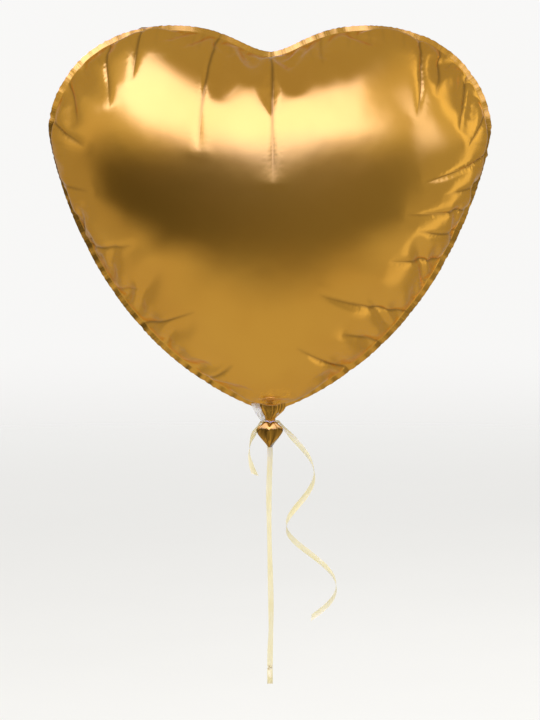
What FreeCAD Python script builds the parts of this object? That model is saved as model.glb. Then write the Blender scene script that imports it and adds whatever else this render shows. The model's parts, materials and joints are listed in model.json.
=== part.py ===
"""Heart-shaped foil balloon on a curling ribbon.

Two heart-shaped foil films are sealed together round their edge and filled with gas. Their tails run down
from the heart's point as a gathered neck, with a clear self-sealing valve inside. A ribbon is wrapped and
knotted round the neck, and hangs down to a small tied loop, by which the balloon is held. The knot also has
two curled free ends.

Millimetres. The origin is the centre of the loop, +Z runs up the ribbon, and the heart's front face looks
along -Y. The ribbon bends anywhere along its length. Here it is four lengths that hinge or turn against each
other.
"""

import FreeCAD
import Part
import math
import os

from FreeCAD import Vector

# Heart, inflated. The flat balloon is 18 inches wide over its sealed edge, and draws in as it fills.
FLAT_WIDTH = 457.0
SEAM = 5.0
DRAW_IN = 0.853
WIDTH = DRAW_IN * (FLAT_WIDTH - 2 * SEAM)
HEIGHT = 0.875 * WIDTH
DEPTH = 0.525 * WIDTH
MIDDLE_Z = 0.57 * HEIGHT
FULLNESS = 1.5
FILM = 0.4

# Gathered neck between the heart's point and the ribbon: round at its waist, wide where it enters the heart.
NECK_LENGTH = 14.0
NECK_INSIDE_HEART = 6.0
NECK_WALL = 0.8
NECK_SHIFT = 5.0
NECK_HALF_WIDTH = 10.0
WAIST_R = 4.0
WAIST_HALF_HEIGHT = 3.2
NECK_OPENS = 8.0
VALVE_GAP = 0.15

# Self-sealing valve inside the heart.
VALVE_WIDTH = 24.0
VALVE_LENGTH = 110.0
VALVE_FILM = 0.3
VALVE_START = 7.0
VALVE_SPACE = 0.4
VALVE_CORNER = 6.0

# Foil tail: below the wrap the film folds forwards and up over the ribbon, and two leaves hang from that fold.
TAIL_LENGTH = 21.5
TAIL_WIDTH = 24.0
TAIL_SHEET = 0.5
TAIL_ROOT = 6.4
TAIL_POINT = 3.0
FOLD_ROOT_Y, FOLD_FRONT_Y = -2.0, -6.4
BACK_ROOT_Y, BACK_END_Y = -7.2, -8.8
FRONT_ROOT_Y, FRONT_END_Y = -8.1, -12.0

# Ribbon. Each curl starts beside the neck and winds loosely about an upright line beside the ribbon.
RIBBON = 5.0
RIBBON_T = 0.3
LOOP_R = 6.0
KNOT_R = 2.8
KNOT_GAP = 0.35
DROP = 234.0
JOIN_GAP = 0.4
WRAP_HEIGHT = 4.5
WRAP_T = 1.3
CURL_PITCH = 105.0
CURL_START = 9.0
CURL_START_Y = -1.0
CURL_FLATNESS = 0.6
LONG_CURL = 172.0
SHORT_CURL = 44.0

# Heights of the joints and features on the Z axis.
ANCHOR_KNOT_Z = LOOP_R + RIBBON_T + 2.2
BEND_Z = 80.0
TWIST_Z = 140.0
NOD_Z = 188.0
TIE_Z = DROP
TIP_Z = TIE_Z + NECK_LENGTH
KNOT_Y = WAIST_R + WRAP_T + 2.0
WAIST_LOW_Z = TIE_Z - WAIST_HALF_HEIGHT
TAIL_TOP_Z = TIE_Z


def v3(x, y, z):
    return Vector(x, y, z)


def hermite(p0, m0, p1, m1, count):
    """Points of a cubic from p0 to p1 with end slopes m0 and m1, without the last point."""
    points = []
    for i in range(count):
        t = i / count
        a, b = 2 * t**3 - 3 * t**2 + 1, t**3 - 2 * t**2 + t
        c, d = 3 * t**2 - 2 * t**3, t**3 - t**2
        points.append(tuple(a * p0[k] + b * m0[k] + c * p1[k] + d * m1[k] for k in range(2)))
    return points


def heart_outline():
    """The seam of the inflated heart as (x, z), from the cleft down the right side, then up the left.

    It is drawn for a heart of width 1 with its tip at the origin, in three cubics. Each joins two of the four
    points below, with its slope at either end.
    """
    top = HEIGHT / WIDTH
    cleft, lobe, side, tip = (0.0, top - 0.06), (0.225, top), (0.5, 0.655), (0.0, 0.0)
    half = hermite(cleft, (0.2, 0.01), lobe, (0.39, 0.0), 12)
    half += hermite(lobe, (0.66, 0.0), side, (0.0, -0.15), 16)
    half += hermite(side, (0.0, -0.1), tip, (-1.27, -0.45), 26)
    left = [(-x, z) for x, z in reversed(half[1:])]
    return [(x * WIDTH, z * WIDTH) for x, z in half + [tip] + left]


def moved_out(outline, distance):
    """The outline moved outwards along its normal."""
    count = len(outline)
    result = []
    for i, (x, z) in enumerate(outline):
        before, after = outline[i - 1], outline[(i + 1) % count]
        dx, dz = after[0] - before[0], after[1] - before[1]
        length = math.hypot(dx, dz)
        result.append((x - distance * dz / length, z + distance * dx / length))
    return result


def ring(outline, share, y):
    """A closed wire at height y, the outline drawn in towards the heart's middle."""
    points = [v3(x * share, y, TIP_Z + MIDDLE_Z + (z - MIDDLE_Z) * share) for x, z in outline]
    curve = Part.BSplineCurve()
    curve.interpolate(Points=points, PeriodicFlag=True)
    return Part.Wire([curve.toShape()])


def dome(outline, depth, side):
    """A solid dome on the outline, upright where it leaves the seam. side is -1 for the front, +1 for the back."""
    rings = []
    steps, top_share = 9, 0.05
    for i in range(steps + 1):
        share = max(top_share, math.cos(0.5 * math.pi * i / steps))
        rings.append(ring(outline, share, side * depth * math.sqrt(1 - share**FULLNESS)))
    return Part.makeLoft(rings, True, False)


def plate(outline, thickness, side):
    """A flat plate on the seam plane, in the shape of the outline."""
    face = Part.Face(ring(outline, 1.0, 0.0))
    return face.extrude(v3(0, side * thickness, 0))


def oval(x, z, half_width, half_depth):
    """A level oval or round wire with its centre at (x, 0, z)."""
    if half_width > half_depth:
        curve = Part.Ellipse(v3(x, 0, z), half_width, half_depth)
    else:
        curve = Part.Circle(v3(x, 0, z), v3(0, 0, 1), half_width)
    return Part.Wire([curve.toShape()])


def neck_solid(inset):
    """The neck's outside less an inset. It widens upwards from its waist and moves off to the right."""
    sections = [
        (0.0, WAIST_LOW_Z, WAIST_R, WAIST_R),
        (0.0, TIE_Z + WAIST_HALF_HEIGHT, WAIST_R, WAIST_R),
        (0.7 * NECK_SHIFT, TIE_Z + NECK_OPENS, 0.7 * NECK_HALF_WIDTH, 1.25 * WAIST_R),
        (NECK_SHIFT, TIP_Z + NECK_INSIDE_HEART, NECK_HALF_WIDTH, 1.5 * WAIST_R),
    ]
    wires = [oval(x, z, a - inset, b - inset) for x, z, a, b in sections]
    return Part.makeLoft(wires, True, True)


def half_space(side):
    """A large block on one side of the seam plane."""
    size = 2 * (TIP_Z + HEIGHT)
    return Part.makeBox(size, size, size, v3(-size / 2, 0 if side > 0 else -size, -size / 4))


def tail_fold():
    """The film below the wrap, brought forwards under it and up in front of it, to carry the leaves."""
    corner = v3(-TAIL_ROOT / 2, FOLD_FRONT_Y, WAIST_LOW_Z)
    under = Part.makeBox(TAIL_ROOT, FOLD_ROOT_Y - FOLD_FRONT_Y, TAIL_SHEET, corner)
    upright = Part.makeBox(TAIL_ROOT, TAIL_SHEET, TAIL_TOP_Z - WAIST_LOW_Z, corner)
    return under.fuse(upright)


def panel(side):
    """One foil film: its dome, its half of the sealed edge and its half of the neck. The front has the fold too."""
    seam_line = heart_outline()
    inside = moved_out(seam_line, -FILM)
    shell = dome(seam_line, DEPTH / 2, side)
    edge = plate(moved_out(seam_line, SEAM), FILM, side)
    tube = neck_solid(0.0).common(half_space(side))
    fold = [tail_fold()] if side < 0 else []
    body = shell.fuse([edge, tube] + fold)
    return body.cut([dome(inside, DEPTH / 2 - FILM, side), neck_solid(NECK_WALL)])


def valve_neck_film():
    """Clear valve film gathered inside the neck."""
    return neck_solid(NECK_WALL + VALVE_GAP)


def valve_side_film():
    """Clear film showing beside the neck, from the heart's lower left edge to the ribbon."""
    corners = [
        v3(-WAIST_R - 0.3, 0, TIE_Z + 2.6),
        v3(-9.0, 0, TIE_Z + 7.5),
        v3(-24.0, 0, TIP_Z + 5.0),
        v3(-13.0, 0, TIE_Z + 4.0),
    ]
    film = Part.Face(Part.makePolygon(corners + corners[:1])).extrude(v3(0, 1.0, 0))
    film.translate(v3(0, -0.5, 0))
    keep_out = plate(moved_out(heart_outline(), SEAM + 0.1), 10.0, 1)
    keep_out = keep_out.fuse(plate(moved_out(heart_outline(), SEAM + 0.1), 10.0, -1))
    return film.cut([keep_out, neck_solid(-0.1)])


def valve_sheet(side):
    """One strip of the valve, with rounded inner corners."""
    low = TIP_Z + VALVE_START
    near = 0.5 * VALVE_SPACE
    y = near if side > 0 else -near - VALVE_FILM
    sheet = Part.makeBox(VALVE_WIDTH, VALVE_FILM, VALVE_LENGTH, v3(-VALVE_WIDTH / 2, y, low))
    across = [e for e in sheet.Edges if abs(e.BoundBox.YLength - VALVE_FILM) < 0.01]
    return sheet.makeFillet(VALVE_CORNER, [e for e in across if e.BoundBox.ZMin > low + 1.0])


def tail_sheet(root_y, end_y):
    """A leaf of film hanging in front of the wrap, creased down its middle, further forward towards its end."""
    wires = []
    for share, width in ((0.0, TAIL_ROOT), (0.3, TAIL_WIDTH), (0.65, 0.75 * TAIL_WIDTH), (1.0, TAIL_POINT)):
        z = TAIL_TOP_Z - TAIL_LENGTH * share
        half = width / 2
        middle = root_y + (end_y - root_y) * share**1.5
        side = middle + 0.4 * (root_y - middle)
        front = [(-half, side), (0.0, middle), (half, side)]
        back = [(x, y + TAIL_SHEET) for x, y in reversed(front)]
        points = [v3(x, y, z) for x, y in front + back]
        wires.append(Part.makePolygon(points + points[:1]))
    return Part.makeLoft(wires, True, True)


def tape(path, facings):
    """A flat ribbon along a list of points. Each point has the direction that the ribbon's face looks in."""
    wires, last = [], len(path) - 1
    for i, (point, facing) in enumerate(zip(path, facings)):
        along = (path[min(i + 1, last)] - path[max(i - 1, 0)]).normalize()
        up = (facing - along * facing.dot(along)).normalize() * (RIBBON_T / 2)
        across = along.cross(up).normalize() * (RIBBON / 2)
        square = [point + across + up, point - across + up, point - across - up, point + across - up]
        wires.append(Part.makePolygon(square + square[:1]))
    return Part.makeLoft(wires, True, False)


def straight_ribbon(low, high):
    """A length of ribbon standing on the Z axis between two heights."""
    return Part.makeBox(RIBBON, RIBBON_T, high - low, v3(-RIBBON / 2, -RIBBON_T / 2, low))


def top_ribbon():
    """The ribbon's last length, leaning back to the knot behind the neck."""
    low, high = NOD_Z + JOIN_GAP, TIE_Z - KNOT_R - KNOT_GAP
    path, count = [], 8
    for i in range(count + 1):
        t = i / count
        path.append(v3(0, KNOT_Y * (3 * t**2 - 2 * t**3), low + (high - low) * t))
    return tape(path, [v3(0, -1, 0)] * (count + 1))


def curl(side, centre, radius, growth, length, front_drop, count):
    """A free end that leaves the wrap on the left (side -1) or right (1) and winds down about a line beside it.

    centre is (x, y) of that line, and radius the winding's, both where the curl first reaches its far side, at
    front_drop below the wrap. Each millimetre below that, the winding widens and its line moves out by growth.
    """
    path, facings = [], []
    start = (side * CURL_START, CURL_START_Y, TIE_Z - 1.0)
    for i in range(count + 1):
        drop = length * i / count
        turn = 2 * math.pi * (drop - front_drop) / CURL_PITCH
        pull = math.exp(-drop / CURL_START)
        r = radius + growth * (drop - front_drop)
        out, forward = side * math.cos(turn), math.sin(turn)
        x = centre[0] + side * growth * (drop - front_drop) + r * out
        y = centre[1] - CURL_FLATNESS * r * forward
        path.append(v3(x + (start[0] - x) * pull, y + (start[1] - y) * pull, start[2] - drop))
        facings.append(v3(out, -forward, 0))
    return tape(path, facings)


def long_curl():
    """The long free end, to the right of the ribbon."""
    return curl(1, (27.0, -12.0), 12.5, 0.095, LONG_CURL, 39.0, 56)


def short_curl():
    """The short free end, to the left of the ribbon."""
    return curl(-1, (-12.5, -13.0), 7.0, 0.0, SHORT_CURL, 20.0, 18)


def wrap():
    """Turns of ribbon round the waist of the neck, drawn tight into a band."""
    low = TIE_Z - WRAP_HEIGHT / 2
    outer = Part.makeCylinder(WAIST_R + WRAP_T, WRAP_HEIGHT, v3(0, 0, low))
    inner = Part.makeCylinder(WAIST_R + 0.02, WRAP_HEIGHT, v3(0, 0, low))
    band = outer.cut(inner)
    rims = [e for e in band.Edges if abs(e.Length - 2 * math.pi * (WAIST_R + WRAP_T)) < 0.1]
    return band.makeFillet(0.5, rims)


def tie_knot():
    """The knot behind the neck, clear of the wrap."""
    knot = Part.makeSphere(KNOT_R, v3(0, KNOT_Y, TIE_Z))
    return knot.cut(Part.makeCylinder(WAIST_R + WRAP_T + 0.02, 4 * KNOT_R, v3(0, 0, TIE_Z - 2 * KNOT_R)))


def loop():
    """The tied loop at the ribbon's lower end, open along X."""
    start, along = v3(-RIBBON / 2, 0, 0), v3(1, 0, 0)
    outer = Part.makeCylinder(LOOP_R + RIBBON_T, RIBBON, start, along)
    return outer.cut(Part.makeCylinder(LOOP_R, RIBBON, start, along))


def loop_knot():
    """The knot that closes the loop."""
    knot = Part.makeSphere(KNOT_R, v3(0, 0, ANCHOR_KNOT_Z))
    keep_out = Part.makeCylinder(LOOP_R + RIBBON_T + 0.02, 2 * RIBBON, v3(-RIBBON, 0, 0), v3(1, 0, 0))
    return knot.cut(keep_out)


def build():
    knot_top = ANCHOR_KNOT_Z + KNOT_R + KNOT_GAP
    return {
        "front_panel": panel(-1),
        "back_panel": panel(1),
        "valve_neck_film": valve_neck_film(),
        "valve_side_film": valve_side_film(),
        "valve_front_film": valve_sheet(-1),
        "valve_back_film": valve_sheet(1),
        "tail_front_flap": tail_sheet(FRONT_ROOT_Y, FRONT_END_Y),
        "tail_back_flap": tail_sheet(BACK_ROOT_Y, BACK_END_Y),
        "ribbon_wrap": wrap(),
        "ribbon_knot": tie_knot(),
        "ribbon_curl_long": long_curl(),
        "ribbon_curl_short": short_curl(),
        "ribbon_top": top_ribbon(),
        "ribbon_upper": straight_ribbon(TWIST_Z + JOIN_GAP, NOD_Z - JOIN_GAP),
        "ribbon_middle": straight_ribbon(BEND_Z + JOIN_GAP, TWIST_Z - JOIN_GAP),
        "ribbon_lower": straight_ribbon(knot_top, BEND_Z - JOIN_GAP),
        "anchor_knot": loop_knot(),
        "anchor_loop": loop(),
    }


os.makedirs("parts", exist_ok=True)
for name, shape in build().items():
    print(name, shape.ShapeType, len(shape.Solids), shape.isValid(), round(shape.Volume, 1))
    shape.exportStep(os.path.join("parts", name + ".step"))
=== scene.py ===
"""The look of a heart-shaped foil balloon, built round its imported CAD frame.

The two foil films are simulated as cloth: two flat sheets share a seam, the seam draws in to the inflated
outline, and pressure fills them. The film's creases and uneven sealed edge are then laid on the mesh, and
the gathered neck, the tail, the valve and the ribbon are built round it. Everything is in metres, in the
frame's own axes: +Z up the ribbon, front towards -Y.
"""

import json
import math

import bpy
import numpy as np
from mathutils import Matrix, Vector
from mathutils.bvhtree import BVHTree
from mathutils.geometry import delaunay_2d_cdt


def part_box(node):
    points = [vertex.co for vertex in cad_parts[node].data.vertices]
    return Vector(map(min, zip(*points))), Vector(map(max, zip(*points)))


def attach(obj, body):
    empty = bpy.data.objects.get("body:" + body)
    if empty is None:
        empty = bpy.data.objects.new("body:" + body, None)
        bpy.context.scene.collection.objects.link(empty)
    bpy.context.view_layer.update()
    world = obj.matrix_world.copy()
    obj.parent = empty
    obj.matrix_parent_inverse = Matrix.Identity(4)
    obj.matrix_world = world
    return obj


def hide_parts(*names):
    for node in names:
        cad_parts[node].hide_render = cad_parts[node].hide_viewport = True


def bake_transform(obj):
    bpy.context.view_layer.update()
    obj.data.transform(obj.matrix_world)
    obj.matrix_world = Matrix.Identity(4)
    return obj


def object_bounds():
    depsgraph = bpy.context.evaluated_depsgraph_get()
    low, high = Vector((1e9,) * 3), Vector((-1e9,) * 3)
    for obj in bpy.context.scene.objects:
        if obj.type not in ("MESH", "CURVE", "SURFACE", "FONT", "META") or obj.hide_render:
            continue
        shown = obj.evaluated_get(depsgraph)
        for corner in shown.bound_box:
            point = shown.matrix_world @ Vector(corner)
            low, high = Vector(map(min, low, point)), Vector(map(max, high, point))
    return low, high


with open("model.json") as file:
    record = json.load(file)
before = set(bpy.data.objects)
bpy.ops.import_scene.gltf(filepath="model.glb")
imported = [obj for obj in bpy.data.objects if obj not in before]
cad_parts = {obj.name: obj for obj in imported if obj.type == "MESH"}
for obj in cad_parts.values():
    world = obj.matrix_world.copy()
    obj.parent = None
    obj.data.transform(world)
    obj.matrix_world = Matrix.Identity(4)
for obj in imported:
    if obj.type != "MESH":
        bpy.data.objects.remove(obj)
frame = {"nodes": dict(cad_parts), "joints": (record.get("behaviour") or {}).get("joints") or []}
CAD_LOW, CAD_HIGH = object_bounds()

MM = 0.001

# -------------------- sizes, worked out from the frame
PANEL_LOW, PANEL_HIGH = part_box("front_panel")
WRAP_LOW, WRAP_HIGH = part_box("ribbon_wrap")
KNOT_LOW, KNOT_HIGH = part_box("ribbon_knot")
LOOP_LOW, LOOP_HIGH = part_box("anchor_loop")
RIBBON_LOW, RIBBON_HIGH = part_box("ribbon_lower")

SEAM = 5 * MM
WIDTH = PANEL_HIGH.x - PANEL_LOW.x - 2 * SEAM
FLAT_WIDTH = 1.222 * WIDTH
HEIGHT = 0.875 * WIDTH
TOP_Z = PANEL_HIGH.z - SEAM
TIP_Z = TOP_Z - HEIGHT
TIE_Z = (WRAP_LOW.z + WRAP_HIGH.z) / 2
WRAP_R = (WRAP_HIGH.x - WRAP_LOW.x) / 2
WAIST_R = WRAP_R - 1.3 * MM
KNOT_Y = KNOT_HIGH.y - (KNOT_HIGH.x - KNOT_LOW.x) / 2
LOOP_KNOT_Z = sum(corner.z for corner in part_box("anchor_knot")) / 2
TAPE = RIBBON_HIGH.x - RIBBON_LOW.x
FILM, CLEAR_FILM, RIBBON_THICK = 0.22 * MM, 0.12 * MM, 0.14 * MM
PLACES = {joint["name"]: np.array(joint["pos_m"]) for joint in frame["joints"]}
BEND_Z, TWIST_Z, NOD_Z = (PLACES[name][2] for name in ("ribbon_bend", "ribbon_twist", "balloon_nod"))

# -------------------- curves and mesh helpers


def hermite(p0, m0, p1, m1, count):
    """Points of a cubic from p0 to p1 with end slopes m0 and m1, without the last point."""
    t = np.linspace(0, 1, count, endpoint=False)[:, None]
    p0, m0, p1, m1 = (np.array(v, float) for v in (p0, m0, p1, m1))
    first = (2 * t**3 - 3 * t**2 + 1) * p0 + (t**3 - 2 * t**2 + t) * m0
    return first + (3 * t**2 - 2 * t**3) * p1 + (t**3 - t**2) * m1


def smoothstep(low, high, value):
    t = np.clip((np.asarray(value, float) - low) / (high - low), 0, 1)
    return t * t * (3 - 2 * t)


def heart(stations, slopes, width):
    """A closed heart outline: curves between stations down its right half, its tip and its left half."""
    spans = zip(stations, stations[1:], slopes, (48, 64, 100))
    half = np.vstack([hermite(a, leaving, b, arriving, count) for a, b, (leaving, arriving), count in spans])
    return np.vstack([half, [[0.0, 0.0]], half[:0:-1] * [-1, 1]]) * width


def inflated_outline():
    """The seam of the inflated heart, as (x, z) from its tip. Its stations are shares of its width."""
    top = HEIGHT / WIDTH
    stations = (0, top - 0.06), (0.225, top), (0.5, 0.655), (0, 0)
    slopes = ((0.2, 0.01), (0.39, 0)), ((0.66, 0), (0, -0.15)), ((0, -0.1), (-1.27, -0.45))
    return heart(stations, slopes, WIDTH)


def flat_outline():
    """The heart as it is cut, before it draws in: wider, and with almost no cleft."""
    at_tip = 0.62 * np.array([-math.cos(math.radians(15)), -math.sin(math.radians(15))])
    stations = (0, 0.90), (0.25, 0.90), (0.5, 0.60), (0, 0)
    slopes = ((0.15, 0), (0.25, 0)), ((0.30, 0), (0, -0.30)), ((0, -0.75), at_tip)
    return heart(stations, slopes, FLAT_WIDTH)


def along(outline, shares):
    """Points at shares of a closed outline's length."""
    loop = np.vstack([outline, outline[:1]])
    run = np.r_[0, np.cumsum(lengths(np.diff(loop, axis=0)))]
    at = np.asarray(shares) * run[-1]
    return np.c_[np.interp(at, run, loop[:, 0]), np.interp(at, run, loop[:, 1])]


def lengths(vectors):
    return np.linalg.norm(vectors, axis=1)


def unit(vectors):
    return vectors / lengths(vectors)[:, None]


def squared(vectors, tangents):
    """The parts of vectors that are square to the tangents, as unit vectors."""
    return unit(vectors - tangents * np.sum(vectors * tangents, axis=1)[:, None])


def length_of(outline):
    loop = np.vstack([outline, outline[:1]])
    return lengths(np.diff(loop, axis=0)).sum()


def is_inside(outline, points):
    x, z = points[:, 0], points[:, 1]
    inside = np.zeros(len(points), bool)
    for (x0, z0), (x1, z1) in zip(outline, np.roll(outline, -1, axis=0)):
        if z0 != z1:
            inside ^= ((z0 > z) != (z1 > z)) & (x < (x1 - x0) * (z - z0) / (z1 - z0) + x0)
    return inside


def distance_to(outline, points):
    nearest = np.full(len(points), np.inf)
    for a, b in zip(outline, np.roll(outline, -1, axis=0)):
        ab = b - a
        t = np.clip(((points - a) @ ab) / (ab @ ab + 1e-18), 0, 1)[:, None]
        nearest = np.minimum(nearest, lengths(points - (a + t * ab)))
    return nearest


def new_object(name, verts, faces, material):
    mesh = bpy.data.meshes.new(name)
    mesh.from_pydata(np.asarray(verts, float).tolist(), [], [list(map(int, f)) for f in faces])
    mesh.update()
    mesh.polygons.foreach_set("use_smooth", [True] * len(mesh.polygons))
    piece = bpy.data.objects.new(name, mesh)
    bpy.context.scene.collection.objects.link(piece)
    if material is not None:
        mesh.materials.append(material)
    return piece


def points_of(mesh):
    co = np.empty(len(mesh.vertices) * 3)
    mesh.vertices.foreach_get("co", co)
    return co.reshape(-1, 3)


def bake_modifiers(piece):
    """Replaces a piece's mesh by its mesh with the modifiers applied."""
    graph = bpy.context.evaluated_depsgraph_get()
    graph.update()
    mesh = bpy.data.meshes.new_from_object(piece.evaluated_get(graph))
    piece.modifiers.clear()
    piece.data = mesh
    mesh.polygons.foreach_set("use_smooth", [True] * len(mesh.polygons))
    mesh.set_sharp_from_angle(angle=math.radians(65))


def subdivide(piece, levels):
    modifier = piece.modifiers.new("smooth", "SUBSURF")
    modifier.levels = modifier.render_levels = levels
    modifier.boundary_smooth = "PRESERVE_CORNERS"
    bake_modifiers(piece)


def thicken(piece, thickness, offset=0, inner_material=0):
    """Gives a sheet its thickness: to both sides, or with offset -1 to the side away from its normals."""
    modifier = piece.modifiers.new("film", "SOLIDIFY")
    modifier.thickness, modifier.offset = thickness, offset
    modifier.material_offset = inner_material
    modifier.use_even_offset = False
    bake_modifiers(piece)


def grid_faces(rows, columns, round_columns=False, round_rows=False):
    """The quads of a grid of points. Its columns or its rows join up where they run round."""
    faces = []
    for i in range(rows if round_rows else rows - 1):
        this, following = i * columns, (i + 1) % rows * columns
        for k in range(columns if round_columns else columns - 1):
            m = (k + 1) % columns
            faces.append((this + k, this + m, following + m, following + k))
    return faces


def set_attribute(mesh, name, values):
    mesh.attributes.new(name, "FLOAT", "POINT").data.foreach_set("value", np.asarray(values, np.float32))


def set_uv(mesh, uv):
    """Lays a ribbon's (across, along) places on its mesh, from one for each vertex."""
    layer = mesh.uv_layers.new(name="tape")
    for loop in mesh.loops:
        layer.data[loop.index].uv = uv[loop.vertex_index]


def hand_over(piece, body, node):
    """Makes a piece ride on a body, in place of a CAD node if it stands for one."""
    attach(piece, body)
    if node:
        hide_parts(node)


# -------------------- node helpers


class Nodes:
    """Short calls for building a material's or the world's node tree."""

    def __init__(self, tree):
        self.tree = tree
        tree.nodes.clear()

    def add(self, kind, **settings):
        node = self.tree.nodes.new(kind)
        for name, value in settings.items():
            setattr(node, name, value)
        return node

    def link(self, source, target):
        self.tree.links.new(source, target)

    def put(self, socket, value):
        """Sets a socket, or links it if value is another node's output."""
        if isinstance(value, bpy.types.NodeSocket):
            self.link(value, socket)
        elif value is not None:
            socket.default_value = value

    def fill(self, node, **values):
        """Sets a node's sockets by name, with _ for a space."""
        for name, value in values.items():
            self.put(node.inputs[name.replace("_", " ")], value)

    def math(self, operation, a, b=None, c=None):
        node = self.add("ShaderNodeMath", operation=operation)
        for socket, value in zip(node.inputs, (a, b, c)):
            self.put(socket, value)
        return node.outputs[0]

    def times(self, a, b):
        return self.math("MULTIPLY", a, b)

    def plus(self, a, b):
        return self.math("ADD", a, b)

    def joined(self, x, y, z=None):
        node = self.add("ShaderNodeCombineXYZ")
        for socket, value in zip(node.inputs, (x, y, z)):
            self.put(socket, value)
        return node.outputs[0]

    def ramp(self, value, low, high, out_low=0.0, out_high=1.0):
        node = self.add("ShaderNodeMapRange", interpolation_type="SMOOTHSTEP")
        for socket, item in zip(node.inputs, (value, low, high, out_low, out_high)):
            self.put(socket, item)
        return node.outputs[0]

    def mix(self, factor, a, b):
        node = self.add("ShaderNodeMix", data_type="RGBA")
        self.fill(node, Factor=factor, A=a, B=b)
        return node.outputs["Result"]

    def noise(self, vector, scale, detail=2.0, roughness=0.5):
        node = self.add("ShaderNodeTexNoise")
        self.fill(node, Vector=vector, Scale=scale, Detail=detail, Roughness=roughness)
        return node.outputs["Fac"]

    def position(self, stretch=(1, 1, 1)):
        """The object's own coordinates in metres, stretched."""
        source = self.add("ShaderNodeTexCoord").outputs["Object"]
        node = self.add("ShaderNodeVectorMath", operation="MULTIPLY")
        self.link(source, node.inputs[0])
        node.inputs[1].default_value = stretch
        return node.outputs[0]

    def bump(self, height, strength, distance, under=None):
        node = self.add("ShaderNodeBump")
        self.fill(node, Height=height, Strength=strength, Distance=distance, Normal=under)
        return node.outputs["Normal"]

    def surface(self, **values):
        """A principled shader joined to the output."""
        shader = self.add("ShaderNodeBsdfPrincipled")
        self.fill(shader, **values)
        self.link(shader.outputs[0], self.add("ShaderNodeOutputMaterial").inputs["Surface"])


def new_material(name):
    material = bpy.data.materials.new(name)
    material.use_nodes = True
    return material, Nodes(material.node_tree)


# -------------------- materials

RIBS_ACROSS = 11
GOLD = (0.86, 0.435, 0.05, 1)
GOLD_DEEP = (0.80, 0.385, 0.04, 1)
# painted shade: the dark gold that the fold attribute lays into creases, pleats and the tail
GOLD_PAINTED_FOLD_SHADE = (0.26, 0.12, 0.012, 1)
GOLD_SEEN_IN_GOLD = (0.93, 0.76, 0.48, 1)  # keeps gold that reflects gold from turning orange


def gold_foil():
    """Satin metallised film under a thin varnish. Fine lines run in from the seam, and folds get painted
    shade: a darker gold laid into creases, pleats and the tail.
    """
    material, n = new_material("gold_foil")
    names = ("seal", "round", "inward", "fold")
    shades = (n.add("ShaderNodeAttribute", attribute_name=name) for name in names)
    seal, around, inward, fold = (shade.outputs["Fac"] for shade in shades)
    cloud = n.noise(n.position(), 9.0, 3.0)
    tension = n.noise(n.joined(n.times(around, 420.0), n.times(inward, 14.0)), 1.0, 3.0, 0.55)
    fading = n.ramp(inward, 0.004, 0.075, 1.0, 0.0)
    colour = n.mix(n.ramp(cloud, 0.35, 0.7), GOLD, GOLD_DEEP)
    # painted shade: darkens the base colour by the fold attribute, in place of the shade in folds
    colour = n.mix(n.times(fold, 0.75), colour, GOLD_PAINTED_FOLD_SHADE)
    again = n.math("MINIMUM", n.add("ShaderNodeLightPath").outputs["Glossy Depth"], 1.0)
    swell = n.bump(n.noise(n.position(), 22.0, 2.0), 0.35, 0.0010)
    drawn = n.bump(tension, n.times(fading, 0.5), 0.0004, swell)
    grain = n.math("MULTIPLY_ADD", seal, 0.5, 0.06)
    n.surface(
        Base_Color=n.mix(again, colour, GOLD_SEEN_IN_GOLD), Metallic=1.0,
        Roughness=n.plus(n.ramp(cloud, 0.3, 0.75, 0.165, 0.215), n.times(seal, 0.03)),
        Specular_Tint=(0.95, 0.70, 0.35, 1),
        Coat_Weight=0.4, Coat_Roughness=0.12, Coat_IOR=1.45,
        Normal=n.bump(n.noise(n.position(), 1500.0, 2.0), grain, 0.00003, drawn),
    )
    return material


def foil_inside():
    """The film's unprinted inner side: greyish silver and a little duller."""
    material, n = new_material("foil_inside")
    cloud = n.noise(n.position(), 60.0, 3.0)
    colour = n.mix(cloud, (0.62, 0.58, 0.50, 1), (0.50, 0.45, 0.36, 1))
    bump = n.bump(n.noise(n.position(), 700.0), 0.2, 0.00006)
    n.surface(Base_Color=colour, Metallic=1.0, Roughness=n.ramp(cloud, 0.2, 0.8, 0.28, 0.42), Normal=bump)
    return material


def clear_film():
    """Thin milky polythene, cloudy where it is crumpled."""
    material, n = new_material("clear_film")
    cloud = n.noise(n.position(), 260.0, 4.0, 0.6)
    colour = n.mix(cloud, (0.95, 0.93, 0.90, 1), (0.80, 0.77, 0.74, 1))
    bump = n.bump(n.noise(n.position(), 420.0, 3.0), 0.5, 0.0004)
    n.surface(
        Base_Color=colour,
        Roughness=n.ramp(cloud, 0.3, 0.7, 0.10, 0.30),
        Alpha=n.ramp(cloud, 0.3, 0.7, 0.35, 0.75),
        IOR=1.5,
        Normal=bump,
    )
    return material


def satin_ribbon():
    """Cream curling ribbon: fine ribs along its length, a satin sheen and light that comes through."""
    material, n = new_material("satin_ribbon")
    split = n.add("ShaderNodeSeparateXYZ")
    n.link(n.add("ShaderNodeUVMap", uv_map="tape").outputs["UV"], split.inputs[0])
    across, run = split.outputs[0], split.outputs[1]
    ribs = n.math("SINE", n.times(across, 2 * math.pi * RIBS_ACROSS))
    threads = n.noise(n.joined(n.times(across, 30.0), n.times(run, 90.0)), 1.0, 3.0)
    tone = n.noise(n.position(), 35.0, 2.0)
    colour = n.mix(n.ramp(tone, 0.35, 0.7), (0.80, 0.70, 0.46, 1), (0.72, 0.60, 0.33, 1))
    colour = n.mix(n.times(threads, 0.35), colour, (0.86, 0.80, 0.62, 1))
    height = n.plus(n.times(ribs, 0.5), threads)
    n.surface(
        Base_Color=colour,
        Roughness=n.ramp(threads, 0.3, 0.7, 0.28, 0.42),
        Specular_IOR_Level=0.6, Sheen_Weight=0.25,
        Subsurface_Weight=0.35, Subsurface_Radius=(0.004, 0.0035, 0.002), Subsurface_Scale=0.3,
        Normal=n.bump(height, 0.35, 0.00008),
    )
    return material


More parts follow.
